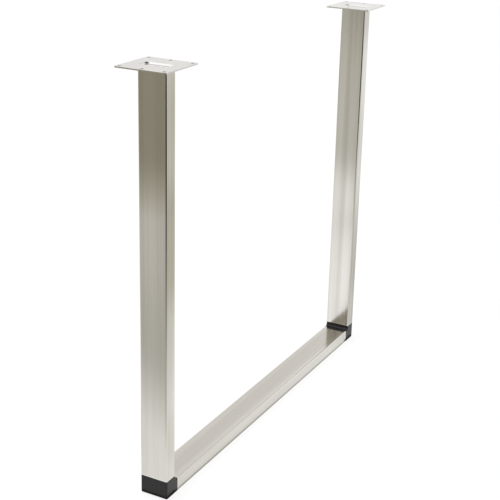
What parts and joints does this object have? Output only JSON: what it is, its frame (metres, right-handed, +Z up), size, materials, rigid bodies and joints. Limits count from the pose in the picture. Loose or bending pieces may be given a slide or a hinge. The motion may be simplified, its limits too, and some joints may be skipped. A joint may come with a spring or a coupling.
{
  "type": "u-shaped table leg",
  "caption": "U-shaped table leg of brushed rectangular steel tube with black plastic corner connectors and a drilled square plate on each upright for screwing to a table top.",
  "frame": {"origin": "on the floor, under the middle of the floor rail", "axes": "+X along the floor rail, +Y across the tubes' wide side, +Z up the uprights"},
  "size_m": [0.804, 0.089, 0.71],
  "materials": {
    "tube_steel": "brushed lengthwise, satin",
    "plate_steel": "plain pale sheet, dull",
    "connector_plastic": "black, moulded, fine texture"
  },
  "bodies": {
    "root": {"left_leg_tube": "tube_steel", "right_leg_tube": "tube_steel", "floor_rail_tube": "tube_steel", "left_corner_connector": "connector_plastic", "right_corner_connector": "connector_plastic", "left_top_plate": "plate_steel", "right_top_plate": "plate_steel"}
  },
  "joints": []
}
